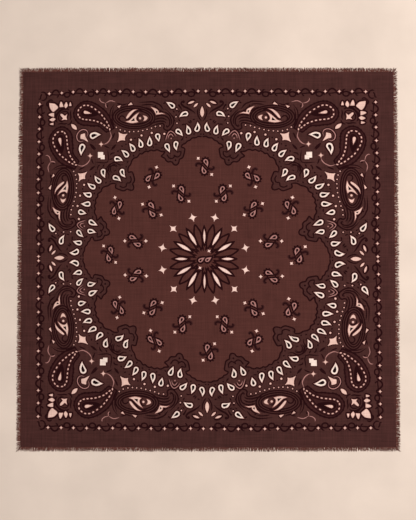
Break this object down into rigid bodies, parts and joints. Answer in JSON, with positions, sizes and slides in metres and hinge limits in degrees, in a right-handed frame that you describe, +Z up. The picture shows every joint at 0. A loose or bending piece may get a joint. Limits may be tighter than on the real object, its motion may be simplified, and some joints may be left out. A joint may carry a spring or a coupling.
{
  "type": "wool scarf",
  "caption": "Square printed wool scarf laid out flat, with a thin cloth panel and a short eyelash fringe on each of its four edges.",
  "frame": {"origin": "on the surface the scarf lies on, under the middle of its bounding box", "axes": "+X runs to the right edge and +Y to the top edge of the laid-out scarf, +Z up through the thin cloth, print side up"},
  "size_m": [1.0184, 1.026, 0.0028],
  "materials": {
    "printed_wool": "matte woven wool in brown with cream, pink and dark plum print",
    "fringe_wool": "matte loose brown wool yarn ends"
  },
  "bodies": {
    "root": {"cloth_panel": "printed_wool", "fringe_right": "fringe_wool", "fringe_top": "fringe_wool", "fringe_left": "fringe_wool", "fringe_bottom": "fringe_wool"}
  },
  "joints": []
}
